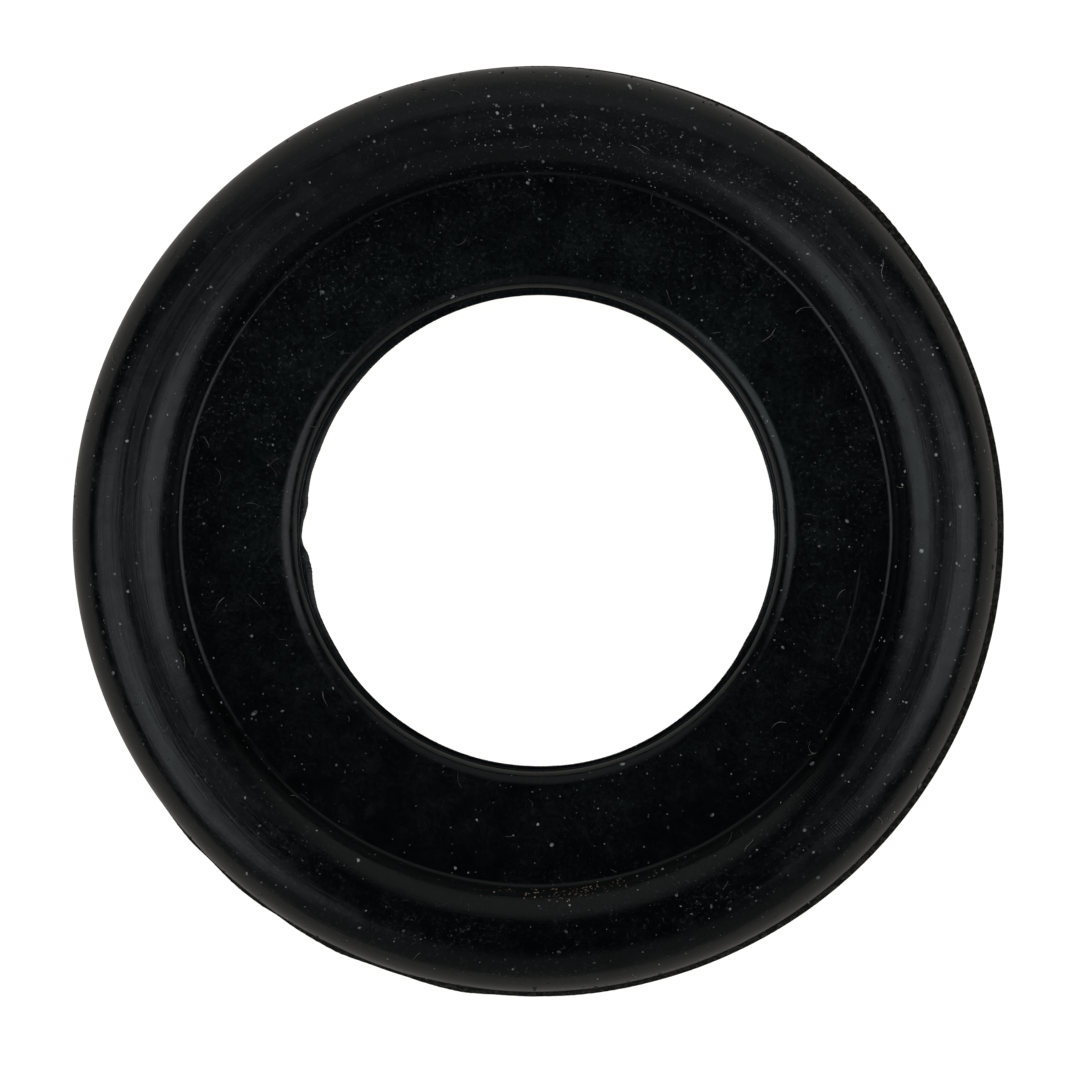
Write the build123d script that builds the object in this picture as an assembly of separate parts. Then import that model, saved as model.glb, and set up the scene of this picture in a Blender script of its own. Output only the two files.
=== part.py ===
from build123d import *
from math import cos, radians, sin
import os

# A rubber sealing ring, moulded in one piece. All lengths are in millimetres.
#
# A round bead runs round the rim, and a thinner flat web fills the space between the bead and
# the bore. The two faces are alike. Z is the bead's axis, Z = 0 is the underside of the bead,
# which the ring lies on, and the two halves of the mould met half-way up the bead.

# The bead
outside_diameter = 30.0
bead_thickness = 3.6

# The web, and the small fillet where its faces run into the bead
web_thickness = 1.4
crease_fillet = 0.2

# The bore as it was moulded. Its core pin stood slightly to one side of the bead's axis.
bore_diameter = 15.6
bore_shift = (0.10, -0.01)

# The flash: the thin fin that the mould's parting plane left, as cut back by the trimming die.
# A width is the fin's mean width, and a shift is where the die's own centre was.
flash_thickness = 0.12
outer_flash_width = 0.065
outer_trim_shift = (0.105, -0.045)
bore_flash_width = 0.175
bore_trim_shift = (0.13, -0.04)

# Where the flash tore instead of being cut: start angle and end angle in degrees, and how far
# the torn edge stands out from the cut edge, away from the solid rubber. A minus is a notch.
outer_tears = [
    (24, 33, 0.045),
    (33, 51, 0.14),
    (51, 61, 0.075),
    (217, 226, 0.05),
    (227, 236, 0.055),
    (237, 250, 0.08),
    (256, 267, 0.09),
]
bore_tears = [
    (0, 8, 0.06),
    (168, 177, 0.085),
    (177, 185, -0.09),
    (185, 200, 0.15),
    (324, 340, 0.07),
]

# Sizes that follow from those above
bead_radius = bead_thickness / 2
bead_centre_radius = outside_diameter / 2 - bead_radius
parting_height = bead_radius
trimmed_outside_radius = outside_diameter / 2 + outer_flash_width
trimmed_bore_radius = bore_diameter / 2 - bore_flash_width
# The bore's edge is a full round, from each face of the web to the root of the flash.
lip_radius = (web_thickness - flash_thickness) / 2


def make_bead():
    """The round rim that is squeezed between the sealed faces."""
    return Pos(0, 0, parting_height) * Torus(bead_centre_radius, bead_radius)


def make_web():
    """The flat flange, turned about the bore's own axis, with both of its lips rounded."""
    inner = bore_diameter / 2
    outer = bead_centre_radius
    section = Pos((inner + outer) / 2, parting_height) * Rectangle(outer - inner, web_thickness)
    lip_corners = section.vertices().sort_by(Axis.X)[:2]
    section = fillet(lip_corners, lip_radius)
    web = revolve(Plane.XZ * section, Axis.Z)
    return Pos(*bore_shift) * web


def fillet_creases(body):
    """Soften the two circles where the flat faces of the web run into the bead."""
    half_chord = (bead_radius**2 - (web_thickness / 2) ** 2) ** 0.5
    crease_radius = bead_centre_radius - half_chord
    creases = [
        edge
        for edge in body.edges().filter_by(GeomType.CIRCLE)
        if abs(edge.radius - crease_radius) < crease_fillet
        and abs(edge.arc_center.X) < crease_fillet
        and edge.length > crease_radius
    ]
    return fillet(creases, crease_fillet)


def rim_point(radius, angle, centre):
    """A point at this radius and angle from a centre in the XY plane."""
    x = centre[0] + radius * cos(radians(angle))
    y = centre[1] + radius * sin(radians(angle))
    return (x, y)


def torn_disc(radius, centre, tears, outward):
    """A disc whose rim is the die's circle, with a shallow arc in place of each torn stretch.

    outward is 1 where a tear stands out from the disc, and -1 where it stands into it.
    """
    rim = []
    for index, (start, end, stand) in enumerate(tears):
        middle = (start + end) / 2
        torn_radius = radius + outward * stand
        rim.append(
            ThreePointArc(
                rim_point(radius, start, centre),
                rim_point(torn_radius, middle, centre),
                rim_point(radius, end, centre),
            )
        )
        next_start = tears[(index + 1) % len(tears)][0]
        clean_run = (next_start - end) % 360
        if clean_run > 0:
            rim.append(
                ThreePointArc(
                    rim_point(radius, end, centre),
                    rim_point(radius, end + clean_run / 2, centre),
                    rim_point(radius, next_start, centre),
                )
            )
    return make_face(rim)


def make_flash():
    """The fin on the parting plane, outside the bead and inside the bore."""
    outer = torn_disc(trimmed_outside_radius, outer_trim_shift, outer_tears, outward=1)
    hole = torn_disc(trimmed_bore_radius, bore_trim_shift, bore_tears, outward=-1)
    fin = extrude(outer - hole, flash_thickness)
    return Pos(0, 0, parting_height - flash_thickness / 2) * fin


def make_sealing_ring():
    """The whole moulding as one solid."""
    body = fillet_creases(make_bead() + make_web())
    return body + make_flash()


sealing_ring = make_sealing_ring()

os.makedirs("parts", exist_ok=True)
export_step(sealing_ring, "parts/sealing_ring.step")

size = sealing_ring.bounding_box().size
print(f"sealing ring: {size.X:.2f} x {size.Y:.2f} x {size.Z:.2f} mm")
print(f"volume {sealing_ring.volume:.1f} mm3, {len(sealing_ring.solids())} solid")
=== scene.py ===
# %% [markdown]
# # A black rubber sealing ring
#
# The real thing is a small moulded seal: a round bead runs round the rim, a thin flat web fills the
# space inside it, and a round bore lets a 15 mm stem through. The measured CAD part is loaded first
# and stays fixed. Everything made here is built round it, in metres, in the same place.

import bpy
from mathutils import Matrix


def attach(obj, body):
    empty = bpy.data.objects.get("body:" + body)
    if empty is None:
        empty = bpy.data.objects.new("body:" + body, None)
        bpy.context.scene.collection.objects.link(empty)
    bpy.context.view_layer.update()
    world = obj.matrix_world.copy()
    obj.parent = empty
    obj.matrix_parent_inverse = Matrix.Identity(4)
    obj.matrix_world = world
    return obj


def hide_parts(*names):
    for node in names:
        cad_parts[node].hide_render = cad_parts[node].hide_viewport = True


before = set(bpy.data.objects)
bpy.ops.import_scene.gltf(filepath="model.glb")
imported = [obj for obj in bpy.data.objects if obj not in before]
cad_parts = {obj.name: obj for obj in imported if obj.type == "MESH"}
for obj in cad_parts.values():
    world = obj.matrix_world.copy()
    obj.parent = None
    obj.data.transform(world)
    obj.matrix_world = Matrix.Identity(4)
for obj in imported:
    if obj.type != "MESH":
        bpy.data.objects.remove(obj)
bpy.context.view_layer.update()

# %% [markdown]
# ## Units and chance
#
# A seal this small is easiest to think about in millimetres, so shapes are worked out in
# millimetres and scaled once when a mesh is made. Dust and torn rubber need chance. One seeded
# generator gives the same chance on every run.

# %% Units and chance
import math

import bpy
import numpy as np

MM = 0.001
TAU = 2 * math.pi
chance = np.random.default_rng(41)
print("One scene unit is a metre, and a millimetre is", MM)

# %% [markdown]
# ## The bead, the web and the lip, as one section
#
# The seal is a section turned about an axis, so the section is the whole design. It could be traced
# by hand as a curve, but arcs that touch without a kink are exact, and light on black rubber shows
# every kink. Going over the top from the rim: the bead's arc, a small fillet in the crease, the
# flat web, and the full round lip at the bore. The lower half is the same, upside down.

# %% The section's arcs
bead_radius = 1.8
bead_middle = 13.2
parting_height = 1.8
web_top = 2.5
crease_fillet = 0.25
bore_radius = 7.8
lip_radius = 0.64
flash_thickness = 0.12


def arc(middle_radius, middle_height, radius, start, end, count):
    """Points on an arc of the section: distance from the axis, and height."""
    turn = np.radians(np.linspace(start, end, count))
    across = middle_radius + radius * np.cos(turn)
    return np.column_stack([across, middle_height + radius * np.sin(turn)])


reach = bead_radius + crease_fillet
fillet_height = web_top + crease_fillet
fillet_rise = fillet_height - parting_height
fillet_middle = bead_middle - math.sqrt(reach**2 - fillet_rise**2)
crease_turn = math.degrees(math.asin(fillet_rise / reach))
lip_middle = bore_radius + lip_radius
print("The crease fillet meets the web", round(fillet_middle, 3), "mm from the axis")

# %% The upper half of the section
bead_line = arc(bead_middle, parting_height, bead_radius, 0, 180 - crease_turn, 38)
crease_line = arc(fillet_middle, fillet_height, crease_fillet, -crease_turn, -90, 7)[1:]
web_across = np.linspace(fillet_middle, lip_middle, 9)[1:-1]
web_line = np.column_stack([web_across, np.full(len(web_across), web_top)])
lip_height = parting_height + flash_thickness / 2
lip_line = arc(lip_middle, lip_height, lip_radius, 90, 180, 10)
upper_section = np.vstack([bead_line, crease_line, web_line, lip_line])
lower_section = upper_section[::-1][:-1] * [1, -1] + [0, 2 * parting_height]
whole_section = np.vstack([upper_section, lower_section])
print("The section has", len(whole_section), "points")

# %% [markdown]
# ## Small faults of the mould
#
# No real moulding is a perfect turning. The bore's core pin stood a tenth of a millimetre to one
# side, the crease wanders a little at the lower right, and the thin web isn't dead flat. These
# could be sculpted, but a few slow waves round the ring say the same in one line each, and stay
# smooth.

# %% Small faults of the mould
bore_shift = np.array([0.10, -0.01])


def waves(turn, amounts):
    """A slow wander round the ring: (how many waves, how tall, where it starts) each."""
    return sum(tall * np.sin(count * turn + start) for count, tall, start in amounts)


def near_angle(turn, degrees, half_width):
    """1 at this angle round the ring, fading to 0 away from it."""
    away = np.angle(np.exp(1j * (turn - math.radians(degrees))))
    return np.exp(-((away / math.radians(half_width)) ** 2))


def mould(section, turns):
    """Turn the section about the axis, with the mould's faults. One row of points per angle."""
    across, height = section[:, 0][None, :], section[:, 1][None, :]
    turn = np.asarray(turns)[:, None]
    side = np.sign(height - parting_height)
    toward_bore = np.clip((fillet_middle - across) / (fillet_middle - lip_middle), 0, 1)
    kink = waves(turn, [(17, 0.014, 0.4), (29, 0.010, 2.0)]) * near_angle(turn, -40, 24)
    drift = waves(turn, [(2, 0.006, 1.1), (5, 0.004, 0.2)])
    at_crease = np.exp(-(((across - fillet_middle - 0.05) / 0.22) ** 2))
    radius = across + (kink + drift) * at_crease
    on_web = np.exp(-(((across - 9.9) / 1.1) ** 2))
    sag = waves(turn, [(3, 0.010, 0.3), (7, 0.004, 1.9)]) * on_web * side
    x = radius * np.cos(turn) + bore_shift[0] * toward_bore
    y = radius * np.sin(turn) + bore_shift[1] * toward_bore
    z = height + sag + 0 * turn
    return np.stack([x, y, z], axis=-1)


print("The bore stands", round(float(np.hypot(*bore_shift)), 3), "mm off the bead's axis")

# %% [markdown]
# ## From points to a mesh
#
# A grid of points that closes on itself both ways makes a torus-like skin: every face has four
# corners and there are no ends to cap. A Screw or Spin modifier could turn the section, but writing
# the grid lets each angle differ. The skin also gets a map of its own: the ring is cut into four
# quarters that lie side by side in the square, so a baked picture has equal detail all round.

# %% From points to a mesh
def make_skin(name, grid):
    """A closed skin through a grid of points (angles, section points, xyz) in millimetres."""
    around, along = grid.shape[:2]
    a, b = np.meshgrid(np.arange(around), np.arange(along), indexing="ij")
    a_next, b_next = (a + 1) % around, (b + 1) % along
    corners = [a * along + b, a_next * along + b, a_next * along + b_next, a * along + b_next]
    faces = np.stack(corners, axis=-1).reshape(-1, 4)
    mesh = bpy.data.meshes.new(name)
    mesh.from_pydata((grid.reshape(-1, 3) * MM).tolist(), [], faces.tolist())
    mesh.shade_smooth()
    lengths = np.linalg.norm(np.roll(grid, -1, axis=1) - grid, axis=2).mean(axis=0)
    travel = np.concatenate([[0], np.cumsum(lengths)]) / lengths.sum()
    u_grid = np.stack([a, a + 1, a + 1, a], axis=-1) * 4 / around
    quarter = np.floor(u_grid[..., :1] + 0.001)
    v_grid = np.stack([travel[b], travel[b], travel[b + 1], travel[b + 1]], axis=-1)
    margin = 0.012
    u = (quarter % 2 + margin + (1 - 2 * margin) * (u_grid - quarter)) / 2
    v = (quarter // 2 + margin + (1 - 2 * margin) * v_grid) / 2
    mesh.uv_layers.new(name="OFBake").data.foreach_set("uv", np.stack([u, v], -1).ravel())
    piece = bpy.data.objects.new(name, mesh)
    bpy.context.scene.collection.objects.link(piece)
    print(name, "has", len(faces), "faces")
    return piece


# %% Make the ring
ring_turns = np.linspace(0, TAU, 820, endpoint=False)
sealing_ring = make_skin("moulded_ring", mould(whole_section, ring_turns))

# %% [markdown]
# ## The flash
#
# Where the two halves of the mould met, rubber crept between them and left a fin thinner than
# paper. A die cut it back, but the die stood to the right, so the fin shows on the right and is
# gone on the left. Some stretches tore instead: a tab at the upper right, ragged bits at the lower
# left, and a notch and two tongues in the bore. Each list walks round the edge: an angle, and how
# far the torn edge stands out from the cut there. It could be a displaced edge of the ring, but a
# fin of its own has as many points round it as a torn edge needs.

# %% Where the flash was cut and where it tore
outer_cut = {"radius": 15.065, "shift": (0.105, -0.045)}
bore_cut = {"radius": 7.625, "shift": (0.13, -0.04)}
outer_tears = [
    (22, 0), (28, 0.040), (34, 0.065), (38, 0.095), (44, 0.138), (47, 0.112), (50, 0.070),
    (52, 0.052), (56, 0.078), (58.4, 0.070), (59.2, 0), (217, 0), (222, 0.052), (225.5, 0),
    (228, 0.030), (230, 0.058), (234, 0.046), (236, 0), (239, 0.040), (245, 0.078), (249, 0.004),
    (254, 0.002), (257, 0.045), (261, 0.090), (265, 0.030), (276, 0.022), (284, 0),
]
bore_tears = [
    (0, 0.020), (4, 0.060), (8, 0), (100, 0), (108, 0.020), (120, 0.035), (130, 0.030),
    (141, 0.058), (150, 0.040), (160, 0.050), (166, 0.016), (171, 0.040), (174, 0.084),
    (176.5, 0.030), (178, -0.026), (182, -0.090), (184, -0.040), (186, 0.090), (190, 0.152),
    (194, 0.084), (200, 0.013), (211, 0.030), (218, 0), (290, 0), (309, 0.048), (318, 0.026),
    (326, 0.040), (332, 0.078), (338, 0.030), (344, 0.020), (352, 0.010),
]


def torn_edge(turns, cut, tears, outward, grain):
    """How far from the bead's axis the fin's edge is, at each angle."""
    shift_x, shift_y = cut["shift"]
    edge = cut["radius"] + shift_x * np.cos(turns) + shift_y * np.sin(turns)
    crumbs = grain.normal(size=len(turns))
    crumbs = np.convolve(np.tile(crumbs, 3), np.hanning(7) / 3, "same")[len(turns):2 * len(turns)]
    at, stand = np.transpose(tears)
    torn = np.interp(np.degrees(turns), at, stand, period=360)
    soft = np.hanning(21) / np.hanning(21).sum()
    torn = np.convolve(np.tile(torn, 3), soft, "same")[len(turns):2 * len(turns)]
    ragged = 0.0025 + 0.05 * np.abs(torn)
    return edge + outward * torn + ragged * crumbs + waves(turns, [(13, 0.003, 0.5)])


# %% Make a fin
def make_fin(name, root, edge, outward, turns):
    """A thin closed fin from inside the ring to its torn edge, with a tiny fillet at its root."""
    half, buried = flash_thickness / 2, 0.30
    hidden = root - outward * buried
    edge = np.maximum(edge * outward, root * outward + 0.006) * outward
    foot = np.minimum(np.abs(edge - root) * 0.4, 0.045)
    profile = [(hidden, half + foot), (root - outward * 0.004, half + foot)]
    profile += [(root + outward * foot * (1 - math.cos(t)), half + foot * (1 - math.sin(t)))
                for t in (0.35, 0.8, 1.25)]
    profile += [(root + outward * foot * 1.02, half), (edge - outward * foot * 0.5, half * 0.95)]
    profile += [(edge - outward * foot * 0.15, half * 0.75), (edge, half * 0.3)]
    columns = profile + [(across, -height) for across, height in profile[::-1]]
    layers = []
    for across, height in columns:
        across = across + 0 * turns
        height = parting_height + height + 0 * turns
        layers.append(np.stack([across * np.cos(turns), across * np.sin(turns), height], -1))
    grid = np.stack(layers, axis=1)
    return make_skin(name, grid if outward < 0 else grid[:, ::-1])


fin_turns = np.linspace(0, TAU, 3000, endpoint=False)
outer_root = np.full(len(fin_turns), bead_middle + bead_radius)
bore_root = bore_radius + bore_shift[0] * np.cos(fin_turns) + bore_shift[1] * np.sin(fin_turns)
outer_edge = torn_edge(fin_turns, outer_cut, outer_tears, 1, chance)
bore_edge = torn_edge(fin_turns, bore_cut, bore_tears, -1, chance)
outer_flash = make_fin("outer_flash", outer_root, outer_edge, 1, fin_turns)
bore_flash = make_fin("bore_flash", bore_root, bore_edge, -1, fin_turns)
print("The fin stands", round(float((outer_edge - outer_root).max()), 3), "mm proud at most")

# %% [markdown]
# ## A place to put dust
#
# Dust, lint and grit lie on the skin, so each bit needs a point on the rubber and the direction
# straight out of it. A ray cast would find both, but the skin is a formula already: a place along
# the section and an angle round the ring give the point, and two short steps give the direction.

# %% Any point on the skin
section_steps = np.linalg.norm(np.diff(upper_section, axis=0), axis=1)
section_travel = np.concatenate([[0], np.cumsum(section_steps)])


def on_skin(travel, turn, underside=False):
    """The point and the outward direction at this travel over the section, in millimetres."""
    spots = []
    for step, swing in ((0, 0), (0.02, 0), (0, 0.02)):
        across = np.interp(travel + step, section_travel, upper_section[:, 0])
        height = np.interp(travel + step, section_travel, upper_section[:, 1])
        if underside:
            height = 2 * parting_height - height
        spot = mould(np.array([[across, height]]), [turn + swing / across])[0, 0]
        spots.append(spot)
    out = np.cross(spots[1] - spots[0], spots[2] - spots[0])
    out = out / np.linalg.norm(out)
    return spots[0], out if underside else -out


def travel_at(across):
    """How far over the section, from the rim, a distance from the axis lies on the upper side."""
    return float(np.interp(-across, -upper_section[:, 0], section_travel))


print("Over the top from rim to bore is", round(float(section_travel[-1]), 2), "mm")

# %% [markdown]
# ## Specks of dust
#
# Pale specks a tenth of a millimetre across cling to the rubber, most of them near the top of the
# bead and along the lip of the bore. Painted dots would look flat from the side, so each speck is a
# real crumb: a small ball of 42 points, squashed and dented by chance, half sunk in the skin. All
# of them share one mesh, which keeps the scene light.

# %% A crumb, and many crumbs
import bmesh

seed_ball = bmesh.new()
bmesh.ops.create_icosphere(seed_ball, subdivisions=2, radius=1)
seed_ball.verts.ensure_lookup_table()
ball_points = np.array([list(vert.co) for vert in seed_ball.verts])
ball_faces = np.array([[vert.index for vert in face.verts] for face in seed_ball.faces])
seed_ball.free()


def make_crumbs(name, places, sizes):
    """One mesh of dented crumbs, each lying on the skin at (travel, turn, underside)."""
    points, faces = [], []
    for (travel, turn, underside), size in zip(places, sizes):
        spot, out = on_skin(travel, turn, underside)
        aside = np.cross(out, chance.normal(size=3))
        aside = aside / np.linalg.norm(aside)
        axes = np.stack([aside, np.cross(out, aside), out])
        stretch = size / 2 * np.array([chance.uniform(0.8, 1.5), chance.uniform(0.7, 1.0), 0.45])
        dents = 1 + chance.normal(scale=0.16, size=(len(ball_points), 1))
        crumb = (ball_points * dents * stretch) @ axes + spot + out * size * 0.10
        faces.append(ball_faces + len(ball_points) * len(points))
        points.append(crumb)
    mesh = bpy.data.meshes.new(name)
    mesh.from_pydata((np.vstack(points) * MM).tolist(), [], np.vstack(faces).tolist())
    mesh.shade_smooth()
    piece = bpy.data.objects.new(name, mesh)
    bpy.context.scene.collection.objects.link(piece)
    print(name, "holds", len(points), "crumbs")
    return piece


# %% Scatter the dust
def dust_place():
    """Chance place for a speck, kept more often near the top of the bead and at the lip."""
    while True:
        travel = chance.uniform(0.3, section_travel[-1] - 0.5)
        turn = chance.uniform(0, TAU)
        across = np.interp(travel, section_travel, upper_section[:, 0])
        keep = 0.30 + 0.75 * near_angle(turn, 75, 45) * (across > 11.5)
        keep += 0.8 * (across < 8.4) + 0.25 * near_angle(turn, 180, 40) * (across > 11.5)
        keep += 0.35 * near_angle(turn, 300, 30) * (across > 12.5)
        if chance.uniform(0, 1.2) < keep * across / 15:
            return travel, turn, False


scattered, upper_crowd, right_crowd, underside_specks = 1150, 420, 150, 220
dust_places = [dust_place() for _ in range(scattered)]
dust_sizes = chance.lognormal(math.log(0.047), 0.48, len(dust_places)).clip(0.02, 0.16)
for _ in range(upper_crowd):
    crowd_turn = math.radians(chance.normal(66, 24))
    crowd_across = float(np.clip(chance.normal(12.75, 0.55), 11.7, 14.2))
    dust_places.append((travel_at(crowd_across), crowd_turn, False))
crowd_sizes = chance.lognormal(math.log(0.036), 0.4, upper_crowd).clip(0.02, 0.1)
dust_sizes = np.concatenate([dust_sizes, crowd_sizes])
for _ in range(right_crowd):
    crowd_across = float(np.clip(chance.normal(13.5, 0.7), 11.7, 14.7))
    dust_places.append((travel_at(crowd_across), math.radians(chance.normal(6, 26)), False))
crowd_sizes = chance.lognormal(math.log(0.040), 0.45, right_crowd).clip(0.02, 0.12)
dust_sizes = np.concatenate([dust_sizes, crowd_sizes])
for _ in range(underside_specks):
    low = chance.uniform(0.6, section_travel[-1] - 0.3)
    dust_places.append((low, chance.uniform(0, TAU), True))
dust_sizes = np.concatenate([dust_sizes, chance.uniform(0.035, 0.09, underside_specks)])
dust_specks = make_crumbs("dust_specks", dust_places, dust_sizes)

# %% [markdown]
# ## Tan grit in the crease
#
# At the bottom of the ring a pinch of tan grit has gathered where the bead rises from the web. It
# is made like the dust, but crowded into one place and coarser, and it gets a warmer colour later.

# %% Gather the grit
grit_places, grit_sizes = [], []
for _ in range(95):
    grit_turn = math.radians(chance.normal(277, 7))
    grit_across = 11.62 + abs(chance.normal(0, 0.22))
    grit_places.append((travel_at(grit_across), grit_turn, False))
    grit_sizes.append(chance.uniform(0.025, 0.075))
tan_grit = make_crumbs("tan_grit", grit_places, grit_sizes)

# %% [markdown]
# ## Lint
#
# A few dozen fibres, each under a millimetre long, lie about on the rubber. A fibre could be a
# curve with a bevel, but eighty small curves are slow to handle. Each one here is a thin five-sided
# tube along a path that walks over the skin and slowly turns, and they all share a mesh.

# %% Walk a fibre over the skin
def fibre_path(travel, turn, length, underside):
    """Points of one fibre: it keeps to the skin, bends slowly, and lifts a little in the middle."""
    heading, bend = chance.uniform(0, TAU), chance.normal(0, 1.6)
    path = []
    for step in range(9):
        spot, out = on_skin(travel, turn, underside)
        lift = 0.010 + 0.05 * math.sin(math.pi * step / 8)
        path.append(spot + out * lift)
        stride = length / 8
        across = np.hypot(spot[0], spot[1])
        limit = section_travel[-1] - 0.3
        travel = min(max(travel + stride * math.cos(heading), 0.3), limit)
        turn += stride * math.sin(heading) / across
        heading += bend * stride + chance.normal(0, 0.16)
    return np.array(path)


def make_lint(name, count):
    """One mesh of fibres, each a closed tube that thins towards its ends."""
    points, faces = [], []
    ring = np.linspace(0, TAU, 5, endpoint=False)
    for index in range(count):
        travel = chance.uniform(0.6, section_travel[-1] - 0.6)
        path = fibre_path(travel, chance.uniform(0, TAU), chance.uniform(0.2, 0.75), index % 6 == 5)
        thick = chance.uniform(0.005, 0.009)
        first = len(points)
        for row, spot in enumerate(path):
            ahead = path[min(row + 1, 8)] - path[max(row - 1, 0)]
            ahead = ahead / np.linalg.norm(ahead)
            aside = np.cross(ahead, [0.3, 0.2, 0.93])
            aside = aside / np.linalg.norm(aside)
            over = np.cross(ahead, aside)
            wide = thick * (0.45 if row in (0, 8) else 1)
            points += [spot + wide * (math.cos(t) * aside + math.sin(t) * over) for t in ring]
        for row in range(8):
            low = first + 5 * row
            faces += [(low + k, low + (k + 1) % 5, low + 5 + (k + 1) % 5, low + 5 + k)
                      for k in range(5)]
        faces.append(tuple(first + k for k in (4, 3, 2, 1, 0)))
        faces.append(tuple(first + 40 + k for k in range(5)))
    mesh = bpy.data.meshes.new(name)
    mesh.from_pydata((np.array(points) * MM).tolist(), [], faces)
    mesh.shade_smooth()
    piece = bpy.data.objects.new(name, mesh)
    bpy.context.scene.collection.objects.link(piece)
    print(name, "holds", count, "fibres")
    return piece


lint_fibres = make_lint("lint_fibres", 84)

# %% [markdown]
# ## Wiring materials
#
# Every finish below is a small network of nodes. Making and wiring nodes one by one fills a page,
# so two helpers do it: one adds a node and plugs in numbers or other nodes, and one does
# arithmetic.

# %% Helpers for node networks
def add(tree, kind, settings=None, plugs=None):
    """Add a node, set its options, and fill its inputs with numbers or with other outputs."""
    made = tree.nodes.new(kind)
    for option, value in (settings or {}).items():
        setattr(made, option, value)
    for socket, value in (plugs or {}).items():
        if isinstance(value, bpy.types.NodeSocket):
            tree.links.new(value, made.inputs[socket])
        else:
            made.inputs[socket].default_value = value
    return made


def sums(tree, operation, *values):
    """Arithmetic on numbers or outputs, such as ADD, MULTIPLY or SINE."""
    plugs = dict(enumerate(values))
    return add(tree, "ShaderNodeMath", {"operation": operation}, plugs).outputs[0]


def fade(tree, value, low, high, to_low=0.0, to_high=1.0):
    """A smooth step: to_low below the first limit, to_high above the second."""
    plugs = {0: value, 1: low, 2: high, 3: to_low, 4: to_high}
    made = add(tree, "ShaderNodeMapRange", {"interpolation_type": "SMOOTHSTEP"}, plugs)
    return made.outputs[0]


def cloud(tree, where, scale, detail=4.0, roughness=0.55):
    """Soft random cloud, with this many lumps to the metre."""
    plugs = {"Vector": where, "Scale": scale, "Detail": detail, "Roughness": roughness}
    return add(tree, "ShaderNodeTexNoise", None, plugs).outputs[0]


def mix_colour(tree, share, first, second):
    """A colour between two others."""
    plugs = {0: share, 6: first, 7: second}
    return add(tree, "ShaderNodeMix", {"data_type": "RGBA"}, plugs).outputs[2]


def blank_material(name):
    """A new material, its tree, its shader, and object coordinates in metres."""
    material = bpy.data.materials.new(name)
    material.use_nodes = True
    tree = material.node_tree
    tree.nodes.clear()
    shader = add(tree, "ShaderNodeBsdfPrincipled")
    add(tree, "ShaderNodeOutputMaterial", None, {0: shader.outputs[0]})
    where = add(tree, "ShaderNodeTexCoord").outputs["Object"]
    return material, tree, shader, where


print("Helpers ready: add, sums, fade, cloud, mix_colour, blank_material")

# %% [markdown]
# ## Black rubber
#
# The rubber is nearly black and glossy, because the mould was polished. A plain black shader would
# look like lacquer. What makes it rubber is on top: a thin bluish bloom in clouds, thickest on the
# web, fine dust, worn patches that are duller than the rest, and the faint rings that the mould's
# turning left on the crown of the bead. A painted sheen also lightens the crown where light falls.

# %% Black rubber: where on the ring we are
rubber, tree, shader, where = blank_material("black_rubber")
apart = add(tree, "ShaderNodeSeparateXYZ", None, {0: where})
x, y, z = apart.outputs
flat = add(tree, "ShaderNodeCombineXYZ", None, {0: x, 1: y}).outputs[0]
length = add(tree, "ShaderNodeVectorMath", {"operation": "LENGTH"}, {0: flat})
from_axis = sums(tree, "DIVIDE", length.outputs["Value"], MM)
on_crown = sums(tree, "MULTIPLY", fade(tree, from_axis, 12.1, 12.8),
                sums(tree, "SUBTRACT", 1.0, fade(tree, from_axis, 13.7, 14.4)))
round_way = add(tree, "ShaderNodeVectorMath", {"operation": "NORMALIZE"}, {0: flat}).outputs[0]
round_x, round_y, _ = add(tree, "ShaderNodeSeparateXYZ", None, {0: round_way}).outputs
streak_plugs = {0: sums(tree, "MULTIPLY", round_x, 2.2), 1: sums(tree, "MULTIPLY", round_y, 2.2),
                2: sums(tree, "MULTIPLY", from_axis, 5.0)}
streak_way = add(tree, "ShaderNodeCombineXYZ", None, streak_plugs).outputs[0]
x_mm, y_mm = sums(tree, "DIVIDE", x, MM), sums(tree, "DIVIDE", y, MM)
x_away = sums(tree, "MULTIPLY", sums(tree, "ABSOLUTE", x_mm), 0.8)
to_left = fade(tree, x_mm, 4.0, -9.0)
beside = fade(tree, sums(tree, "ABSOLUTE", x_mm), 4.5, 9.5, 0.12, 1.0)
to_top = fade(tree, y_mm, -9.0, 6.0)
print("Masks made for the crown, the sides, the left and the top")

# %% Black rubber: bloom, fine dust and a painted sheen in the colour
clouds = cloud(tree, where, 640, 9.0, 0.72)
patches = fade(tree, clouds, 0.30, 0.70)
inner_web = sums(tree, "SUBTRACT", 1.0, fade(tree, from_axis, 9.2, 11.2, 0.0, 0.75))
bloom = sums(tree, "MULTIPLY_ADD", patches, 0.7, 0.3)
bloom = sums(tree, "MULTIPLY", bloom, sums(tree, "MULTIPLY_ADD", inner_web, 0.75, 0.25))
bloom = sums(tree, "MULTIPLY", bloom, sums(tree, "MULTIPLY_ADD", to_top, 0.5, 0.5))
web_grain = fade(tree, cloud(tree, where, 6500, 4.0, 0.75), 0.34, 0.68, 0.35, 1.75)
bloom = sums(tree, "MULTIPLY", bloom, web_grain)
black = (0.0009, 0.0010, 0.0013, 1)
teal_bloom = (0.0048, 0.0074, 0.0080, 1)
colour = mix_colour(tree, bloom, black, teal_bloom)
streaks = fade(tree, cloud(tree, streak_way, 1.0, 5.0, 0.6), 0.36, 0.66)
# A painted sheen: the crown of the bead is made paler up and to the sides, where the lamps and the
# back panel light it, streaked along the turning marks.
upward = fade(tree, sums(tree, "ADD", y_mm, x_away), -7.0, 9.0)
on_lit_side = sums(tree, "MULTIPLY", upward, on_crown)
painted_crown_sheen = sums(tree, "MULTIPLY", sums(tree, "MULTIPLY_ADD", streaks, 0.35, 0.65), on_lit_side)
colour = mix_colour(tree, painted_crown_sheen, colour, (0.0095, 0.0100, 0.0114, 1))
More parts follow.
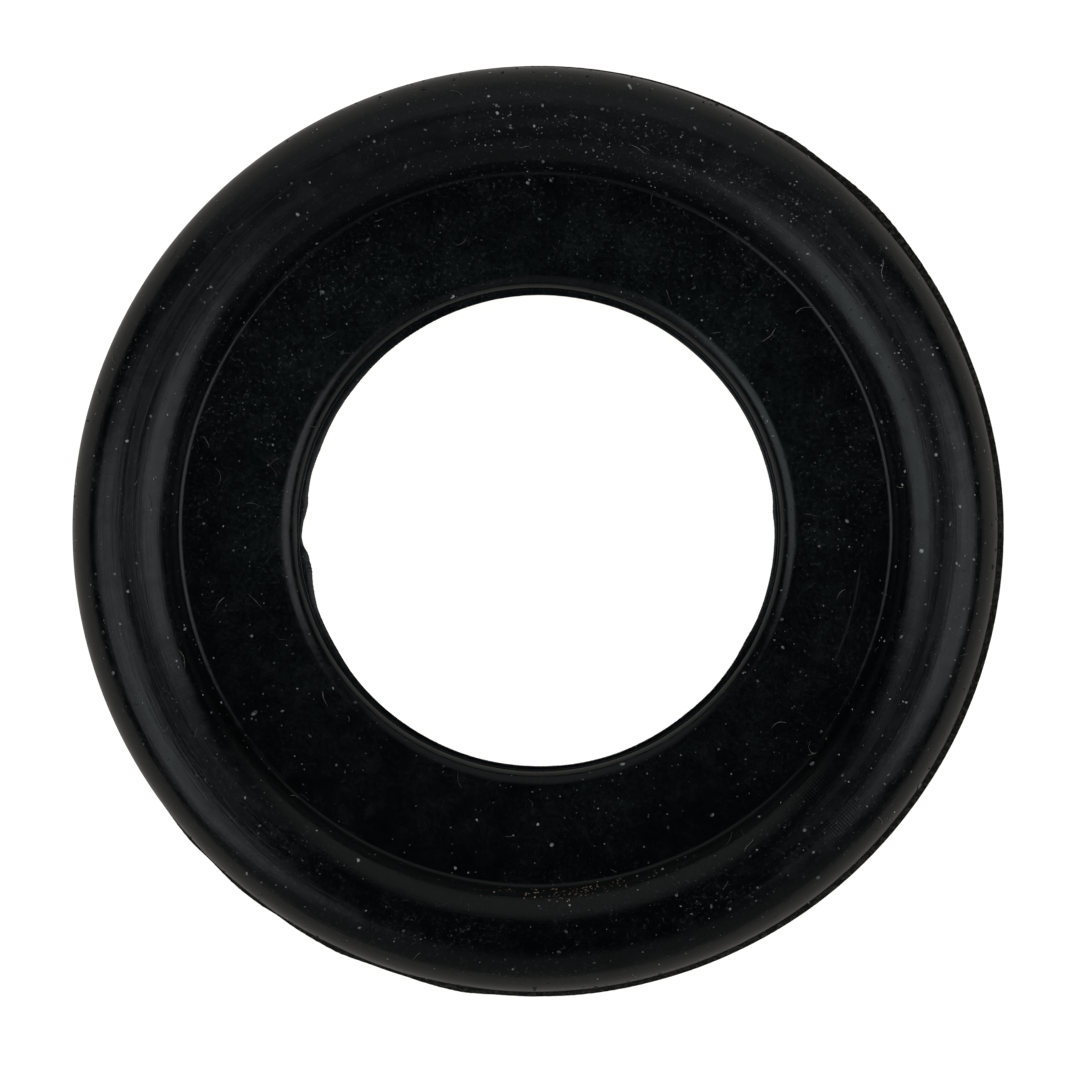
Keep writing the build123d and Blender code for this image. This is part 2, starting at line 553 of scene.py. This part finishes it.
settled = sums(tree, "MAXIMUM", to_top, fade(tree, from_axis, 11.6, 12.4))
settled = sums(tree, "MULTIPLY_ADD", settled, 0.7, 0.3)
drifts = fade(tree, cloud(tree, where, 330, 4.0, 0.6), 0.36, 0.62, 0.25, 1.0)
settled = sums(tree, "MULTIPLY", settled, drifts)
powder = fade(tree, cloud(tree, where, 8500, 3.0, 0.7), 0.54, 0.78)
powder = sums(tree, "MULTIPLY", powder, settled)
colour = mix_colour(tree, powder, colour, (0.034, 0.037, 0.038, 1))
specks = add(tree, "ShaderNodeTexVoronoi", None, {"Vector": where, "Scale": 5200})
small = sums(tree, "LESS_THAN", specks.outputs["Distance"], 0.13)
chosen = add(tree, "ShaderNodeSeparateColor", None, {0: specks.outputs["Color"]}).outputs[0]
enough = sums(tree, "MULTIPLY_ADD", settled, -0.26, 0.96)
fine_dust = sums(tree, "MULTIPLY", small, sums(tree, "GREATER_THAN", chosen, enough))
colour = mix_colour(tree, fine_dust, colour, (0.060, 0.064, 0.064, 1))
print("Rubber colour runs from", black[:3], "to", teal_bloom[:3])

# %% [markdown]
# ## Gloss that varies
#
# Roughness says how sharp a reflection is. Polished rubber is near 0.2. Handled and dusty patches
# are rougher, and the reflection breaks up there. The same clouds drive both bloom and roughness,
# because on the real ring the hazy places are the dull ones.

# %% Black rubber: gloss
wear = cloud(tree, where, 1500, 5.0, 0.6)
gloss = sums(tree, "MULTIPLY_ADD", fade(tree, wear, 0.42, 0.72), 0.11, 0.165)
gloss = sums(tree, "MULTIPLY_ADD", patches, 0.04, gloss)
dull_streaks = sums(tree, "MULTIPLY", sums(tree, "MULTIPLY", streaks, on_crown), beside)
gloss = sums(tree, "MULTIPLY_ADD", dull_streaks, 0.16, gloss)
gloss = sums(tree, "MULTIPLY_ADD", fine_dust, 0.4, gloss)
tree.links.new(gloss, shader.inputs["Roughness"])
shader.inputs["IOR"].default_value = 1.5
print("Roughness runs from 0.17 to about 0.45")

# %% [markdown]
# ## Two marks of its own
#
# Every moulding has marks that are its alone. This one has a faint arc on the web at the right,
# where a tool once touched the mould, and a small cross-hatched patch on the bead at the lower
# right. An arc is a narrow band of distance from the axis, cut to a few degrees of angle. The patch
# is two sets of fine waves that cross, faded out round a centre.

# %% Black rubber: the arc and the cross-hatch
degrees = sums(tree, "MULTIPLY", sums(tree, "ARCTAN2", y, x), 180 / math.pi)
off_arc = sums(tree, "ABSOLUTE", sums(tree, "SUBTRACT", from_axis, 10.56))
in_arc = sums(tree, "MULTIPLY", fade(tree, degrees, -26, -21), fade(tree, degrees, -4, -9))
tool_arc = sums(tree, "MULTIPLY", fade(tree, off_arc, 0.05, 0.01), in_arc)
colour = mix_colour(tree, tool_arc, colour, (0.0100, 0.0115, 0.0120, 1))
tree.links.new(colour, shader.inputs["Base Color"])
patch_x, patch_y = sums(tree, "SUBTRACT", x_mm, 9.54), sums(tree, "ADD", y_mm, 8.77)
patch_away = sums(tree, "SQRT", sums(tree, "ADD", sums(tree, "MULTIPLY", patch_x, patch_x),
                                    sums(tree, "MULTIPLY", patch_y, patch_y)))
in_patch = fade(tree, patch_away, 1.5, 0.5)
hatch_pitch = 0.14
along_patch = sums(tree, "MULTIPLY", sums(tree, "ADD", x_mm, y_mm), TAU / hatch_pitch)
one_way = sums(tree, "SINE", along_patch)
across_patch = sums(tree, "MULTIPLY", sums(tree, "SUBTRACT", x_mm, y_mm), TAU / hatch_pitch)
other_way = sums(tree, "SINE", across_patch)
hatch = sums(tree, "MULTIPLY", sums(tree, "ADD", one_way, other_way), in_patch)
print("One tool arc and one cross-hatched patch")

# %% [markdown]
# ## Turning marks and grain
#
# The mould was turned on a lathe, and its tool left rings about a tenth of a millimetre apart.
# They're far too fine to model, so they're a bump. A sine of the distance from the axis would be as
# even as a record's groove, and real turning marks aren't. So they're a cloud that is stretched a
# long way round the ring. Heights are added up in micrometres, which keeps the numbers readable,
# and the bump's distance turns them into metres.

# %% Black rubber: bump
MICROMETRE = 1e-6
ring_plugs = {0: sums(tree, "MULTIPLY", round_x, 3.0), 1: sums(tree, "MULTIPLY", round_y, 3.0),
              2: sums(tree, "MULTIPLY", from_axis, 7.5)}
ring_way = add(tree, "ShaderNodeCombineXYZ", None, ring_plugs).outputs[0]
rings = cloud(tree, ring_way, 1.0, 3.0, 0.65)
worn_rings = sums(tree, "MULTIPLY", streaks, on_crown)
worn_rings = sums(tree, "MULTIPLY", worn_rings, sums(tree, "MULTIPLY_ADD", to_left, 0.9, 0.7))
worn_rings = sums(tree, "MULTIPLY", worn_rings, beside)
height = sums(tree, "MULTIPLY", rings, sums(tree, "MULTIPLY", worn_rings, 9.0))
height = sums(tree, "MULTIPLY_ADD", cloud(tree, where, 9000, 3.0), 2.2, height)
height = sums(tree, "MULTIPLY_ADD", cloud(tree, where, 1300, 3.0), 10.0, height)
height = sums(tree, "MULTIPLY_ADD", cloud(tree, where, 420, 2.0), 26.0, height)
height = sums(tree, "MULTIPLY_ADD", cloud(tree, streak_way, 1.6, 4.0), 5.0, height)
height = sums(tree, "MULTIPLY_ADD", fine_dust, 4.0, height)
height = sums(tree, "MULTIPLY_ADD", hatch, 1.1, height)
height = sums(tree, "MULTIPLY_ADD", tool_arc, 3.0, height)
bump_plugs = {"Strength": 1.0, "Distance": MICROMETRE, "Height": height}
bump = add(tree, "ShaderNodeBump", None, bump_plugs)
tree.links.new(bump.outputs[0], shader.inputs["Normal"])
sealing_ring.data.materials.append(rubber)
print("The bump adds rings, grain and dust to the rubber")

# %% [markdown]
# ## Dust, grit, lint and torn rubber
#
# Dust is a pale grey that changes from crumb to crumb, grit is tan, and lint is a dull off-white.
# The outer flash was torn and cut all round, and is grainy and dull, so it gets the same kind of
# finish in black. The bore's flash is as smooth as the mould, and keeps the rubber's own finish.
# A cloud with lumps about as large as the gap between two crumbs gives each crumb its own shade
# without a material for each. All of them are quite rough, so none of them shines.

# %% Dust, grit, lint and torn rubber
def dusty_material(name, dark, pale, lumps, grain):
    """A matt powdery finish whose shade changes from crumb to crumb."""
    material, tree, shader, where = blank_material(name)
    shade = fade(tree, cloud(tree, where, lumps, 2.0), 0.42, 0.72)
    tree.links.new(mix_colour(tree, shade, dark, pale), shader.inputs["Base Color"])
    rough = sums(tree, "MULTIPLY_ADD", cloud(tree, where, grain, 2.0), 0.3, 0.6)
    tree.links.new(rough, shader.inputs["Roughness"])
    height = cloud(tree, where, grain, 3.0)
    bump = add(tree, "ShaderNodeBump", None, {"Distance": 8 * MICROMETRE, "Height": height})
    tree.links.new(bump.outputs[0], shader.inputs["Normal"])
    print("Made", name)
    return material


torn_finish = dusty_material(
    "torn_rubber", (0.0008, 0.0008, 0.0008, 1), (0.040, 0.036, 0.032, 1), 11500, 26000)
dust_finish = dusty_material(
    "pale_dust", (0.030, 0.033, 0.033, 1), (0.40, 0.42, 0.41, 1), 1900, 40000)
grit_finish = dusty_material(
    "tan_grit", (0.09, 0.065, 0.045, 1), (0.42, 0.33, 0.24, 1), 2600, 40000)
lint_finish = dusty_material(
    "dull_lint", (0.05, 0.05, 0.045, 1), (0.34, 0.32, 0.28, 1), 1200, 30000)
outer_flash.data.materials.append(torn_finish)
bore_flash.data.materials.append(rubber)
dust_specks.data.materials.append(dust_finish)
tan_grit.data.materials.append(grit_finish)
lint_fibres.data.materials.append(lint_finish)

# %% [markdown]
# ## What rides on what
#
# The ring is one body with no joints, so every piece rides on the root. The moulded ring stands for
# the CAD node, which then isn't shown.

# %% Ride on the root
for piece in (sealing_ring, outer_flash, bore_flash, dust_specks, tan_grit, lint_fibres):
    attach(piece, "root")
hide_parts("sealing_ring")

# %% [markdown]
# ## A pale table
#
# The ring lies on a plain white table. Its own colour is a light grey that takes the ring's shadow,
# and a light of its own lifts it to white for the camera, so that no more light has to fall on the
# rubber. Reflections get a share of that lift: enough for the rim to show a pale table, and not so
# much that a white line runs round black rubber.

# %% A pale table
lift = 0.95
in_reflections = 0.14


def seen_share(tree):
    """1 where a camera or a clear thing sees the background, and a small share in reflections."""
    rays = add(tree, "ShaderNodeLightPath").outputs
    mirrored = sums(tree, "MULTIPLY", rays["Is Glossy Ray"], in_reflections)
    seen = sums(tree, "MAXIMUM", rays["Is Camera Ray"], rays["Is Transmission Ray"])
    return sums(tree, "MAXIMUM", seen, mirrored)


table_finish, tree, shader, where = blank_material("pale_table")
tree.nodes.clear()
seen = seen_share(tree)
matt = add(tree, "ShaderNodeBsdfDiffuse", None, {0: (0.33, 0.305, 0.28, 1)})
glow_plugs = {0: (1, 0.985, 0.97, 1), 1: sums(tree, "MULTIPLY", seen, lift)}
glow = add(tree, "ShaderNodeEmission", None, glow_plugs)
both = add(tree, "ShaderNodeAddShader", None, {0: matt.outputs[0], 1: glow.outputs[0]})
add(tree, "ShaderNodeOutputMaterial", None, {0: both.outputs[0]})

table_mesh = bpy.data.meshes.new("table")
table_radius, table_corners, just_below = 3, 64, -0.00001
table_round = [(table_radius * math.cos(t), table_radius * math.sin(t), just_below)
               for t in np.linspace(0, TAU, table_corners, False)]
table_mesh.from_pydata(table_round, [], [tuple(range(table_corners))])
table_mesh.materials.append(table_finish)
table = bpy.data.objects.new("table", table_mesh)
bpy.context.scene.collection.objects.link(table)
print("The table is 6 m across, and its glow is", lift)

# %% [markdown]
# ## Two softboxes
#
# Black gloss has almost no colour of its own: what is seen is the lamps, mirrored. Two large
# softboxes stand left and right, half-way up, and each draws a pale strip down the bead. Their size
# sets how wide the strips are, and where they stand sets where the strips fall.

# %% Two softboxes
from mathutils import Matrix, Vector


def softbox(name, compass, from_top, tilt, wide, tall, brightness, blue=0.0, distance=0.6):
    """A rectangular lamp that faces the ring, this far round and this far down from overhead.

    Its cloth is a little uneven, and fades towards the edges as a real one does.
    """
    soft_edge = 0.26
    round_to, down = math.radians(compass), math.radians(from_top)
    out = Vector((math.sin(down) * math.cos(round_to), math.sin(down) * math.sin(round_to),
                  math.cos(down)))
    along = Vector((-math.sin(round_to), math.cos(round_to), 0))
    up = out.cross(along)
    turn = math.radians(tilt)
    side = along * math.cos(turn) + up * math.sin(turn)
    lamp = bpy.data.lights.new(name, "AREA")
    lamp.shape = "RECTANGLE"
    lamp.size, lamp.size_y = wide * distance, tall * distance
    lamp.energy = brightness * math.pi * lamp.size * lamp.size_y
    lamp.color = (0.94 - blue, 0.975 - 0.3 * blue, 1.0)
    lamp.use_nodes = True
    tree = lamp.node_tree
    tree.nodes.clear()
    place = add(tree, "ShaderNodeNewGeometry").outputs["Parametric"]
    u, v, _ = add(tree, "ShaderNodeSeparateXYZ", None, {0: place}).outputs
    shares = []
    for spot in (u, v):
        near_edge = sums(tree, "MINIMUM", spot, sums(tree, "SUBTRACT", 1.0, spot))
        shares.append(fade(tree, near_edge, 0.0, soft_edge, 0.15, 1.0))
    even = fade(tree, cloud(tree, place, 3.2, 3.0), 0.3, 0.7, 0.78, 1.12)
    power = sums(tree, "MULTIPLY", sums(tree, "MULTIPLY", *shares), even)
    cloth = add(tree, "ShaderNodeEmission", None, {1: power})
    add(tree, "ShaderNodeOutputLight", None, {0: cloth.outputs[0]})
    holder = bpy.data.objects.new(name, lamp)
    holder.matrix_world = Matrix.Translation(out * distance) @ Matrix(
        (side, out.cross(side), out)).transposed().to_4x4()
    holder.visible_camera = False
    bpy.context.scene.collection.objects.link(holder)
    size_text = f"{lamp.size:.2f} by {lamp.size_y:.2f} m"
    print(name, "is", size_text, "at", round(lamp.energy, 2), "W")
    return holder


softbox("right_softbox", -5, 46, 20, 0.94, 1.04, 0.94)
softbox("left_softbox", 200, 46, -8, 1.16, 0.94, 0.95, blue=0.07)

# %% [markdown]
# ## Light from overhead, and the room
#
# Dust and bloom need light from overhead, but a lamp there would mirror in the flat web, which is
# dark on the real ring. So the overhead lamp lights only matt things and is left out of
# reflections. The room itself is dark above, with a dim grey panel behind the ring, a dimmer one in
# front, and a pale horizon that carries on from the table.

# %% Light from overhead
overhead = softbox("overhead_fill", 90, 8, 0, 0.9, 0.9, 1.0, distance=0.8)
overhead.visible_glossy = False
overhead.data.energy = 4.2

# %% The room
room = bpy.data.worlds.new("studio_room")
bpy.context.scene.world = room
room.use_nodes = True
tree = room.node_tree
tree.nodes.clear()
facing = add(tree, "ShaderNodeTexCoord").outputs["Generated"]
_, toward_back, toward_up = add(tree, "ShaderNodeSeparateXYZ", None, {0: facing}).outputs
back_panel = fade(tree, toward_back, 0.50, 0.78, 0.0, 0.23)
front_panel = fade(tree, sums(tree, "MULTIPLY", toward_back, -1.0), 0.50, 0.78, 0.0, 0.12)
horizon_glow = sums(tree, "MULTIPLY", seen_share(tree), 1.05)
horizon = sums(tree, "MULTIPLY", fade(tree, toward_up, 0.085, 0.055), horizon_glow)
level = sums(tree, "ADD", back_panel, front_panel)
level = sums(tree, "MAXIMUM", level, horizon)
glow = add(tree, "ShaderNodeBackground", None, {0: (0.98, 0.99, 1.0, 1), 1: level})
add(tree, "ShaderNodeOutputWorld", None, {0: glow.outputs[0]})
print("The room is dark overhead and pale at the horizon")

# %% [markdown]
# ## The camera
#
# The ring was seen from straight above, from far enough away that its sides don't show. A long lens
# at 30 cm does the same here. The view transform is the plain one, so colours come out as written.

# %% The camera
camera = bpy.data.cameras.new("camera")
camera.sensor_width = 36
camera.lens = 309.5
camera_distance = 300
camera.clip_start, camera.clip_end = 0.01, 10
viewer = bpy.data.objects.new("camera", camera)
viewer.location = (0.094 * MM, -0.292 * MM, camera_distance * MM + parting_height * MM)
bpy.context.scene.collection.objects.link(viewer)
bpy.context.scene.camera = viewer
bpy.context.scene.view_settings.view_transform = "Standard"
print("The camera looks straight down from", round(viewer.location.z, 4), "m")
